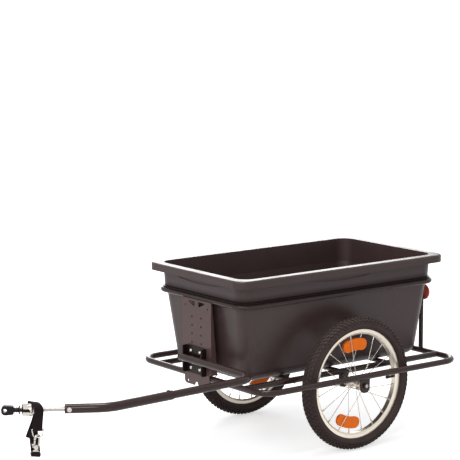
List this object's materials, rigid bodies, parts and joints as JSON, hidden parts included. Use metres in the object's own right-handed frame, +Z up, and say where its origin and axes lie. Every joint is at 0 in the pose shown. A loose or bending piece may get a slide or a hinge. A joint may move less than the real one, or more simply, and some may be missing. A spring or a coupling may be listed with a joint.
{
  "type": "bike shopping trailer",
  "caption": "Two-wheeled bicycle trailer with a lift-out plastic tub in a tube frame, spoked wheels beside it, an offset drawbar, a swivelling tow eye and a safety strap.",
  "frame": {"origin": "centre of the overall box, on the ground", "axes": "+X forward along the length to the tow eye, +Y to the trailer's left, +Z up"},
  "size_m": [1.5068, 0.6254, 0.5325],
  "materials": {
    "tub_plastic": "fine-grained moulded, dark warm grey",
    "frame_paint": "satin black powder coat",
    "bright_steel": "zinc-plated, bright",
    "black_plastic": "moulded",
    "rim_alloy": "polished",
    "tyre_rubber": "matte rubber with block tread",
    "amber": "clear amber with prisms",
    "red": "clear red with prisms",
    "webbing": "woven black webbing"
  },
  "bodies": {
    "frame": {"bracket_bolts": "bright_steel", "bracket_nuts": "bright_steel", "cross_bolt": "bright_steel", "cross_nut": "bright_steel", "cross_tubes": "frame_paint", "drawbar_bracket": "frame_paint", "drawbar_end_bush": "black_plastic", "drawbar_front_tube": "frame_paint", "drawbar_rear_tube": "frame_paint", "dropout_inner_left": "frame_paint", "dropout_inner_right": "frame_paint", "dropout_outer_left": "frame_paint", "dropout_outer_right": "frame_paint", "front_plate": "frame_paint", "hitch_shaft": "bright_steel", "inner_rail_left": "frame_paint", "inner_rail_right": "frame_paint", "left_axle": "bright_steel", "left_axle_cones": "bright_steel", "left_axle_nuts": "bright_steel", "leg_end_plug": "black_plastic", "length_nut": "black_plastic", "length_screw": "black_plastic", "lower_loop": "frame_paint", "rail_pins": "black_plastic", "rear_post_left": "frame_paint", "rear_post_right": "frame_paint", "rear_reflectors": "red", "reflector_screws": "bright_steel", "right_axle": "bright_steel", "right_axle_cones": "bright_steel", "right_axle_nuts": "bright_steel", "shaft_clip": "bright_steel", "upper_ring": "frame_paint"},
    "tub": {"tub": "tub_plastic"},
    "left_wheel": {"left_bearings": "bright_steel", "left_hub_shell": "rim_alloy", "left_nipples": "bright_steel", "left_rim": "rim_alloy", "left_spokes": "bright_steel", "left_tyre": "tyre_rubber", "left_valve": "tyre_rubber", "left_wheel_reflectors": "amber"},
    "right_wheel": {"right_bearings": "bright_steel", "right_hub_shell": "rim_alloy", "right_nipples": "bright_steel", "right_rim": "rim_alloy", "right_spokes": "bright_steel", "right_tyre": "tyre_rubber", "right_valve": "tyre_rubber", "right_wheel_reflectors": "amber"},
    "coupling": {"coupling_housing": "bright_steel", "pivot_pin": "bright_steel"},
    "tow_eye": {"tow_eye": "black_plastic"},
    "strap": {"safety_strap": "webbing", "strap_ring": "bright_steel", "swivel_eye": "bright_steel"},
    "hook": {"snap_hook": "bright_steel", "gate_pin": "bright_steel"},
    "gate": {"hook_gate": "bright_steel"}
  },
  "joints": [
    {"name": "left_wheel_spin", "type": "hinge", "parent": "frame", "child": "left_wheel", "pos_m": [-0.36137, 0.263, 0.196], "axis": [0, 1, 0], "continuous": true},
    {"name": "right_wheel_spin", "type": "hinge", "parent": "frame", "child": "right_wheel", "pos_m": [-0.36137, -0.263, 0.196], "axis": [0, 1, 0], "continuous": true},
    {"name": "tub_lift", "type": "slide", "parent": "frame", "child": "tub", "axis": [0, 0, 1], "range_m": [0, 0.3]},
    {"name": "coupling_roll", "type": "hinge", "parent": "frame", "child": "coupling", "pos_m": [0.69515, 0.17468, 0.26357], "axis": [0.819, -0.5736, -0.0136], "continuous": true},
    {"name": "tow_eye_yaw", "type": "hinge", "parent": "coupling", "child": "tow_eye", "pos_m": [0.69515, 0.17468, 0.26357], "axis": [0.0166, 0, 0.9999], "range_deg": [-60, 60]},
    {"name": "strap_swing", "type": "hinge", "parent": "frame", "child": "strap", "pos_m": [0.66813, 0.19361, 0.26402], "axis": [0.819, -0.5736, -0.0136], "continuous": true},
    {"name": "hook_swivel", "type": "hinge", "parent": "strap", "child": "hook", "pos_m": [0.6781, 0.19173, 0.16639], "axis": [-0.0088, 0.1911, 0.9815], "range_deg": [-5, 95]},
    {"name": "hook_gate_hinge", "type": "hinge", "parent": "hook", "child": "gate", "pos_m": [0.68603, 0.19309, 0.16823], "axis": [0.1226, -0.974, 0.1908], "range_deg": [0, 25], "stiffness_Nm_per_rad": 0.05, "springref_deg": -17.19}
  ]
}
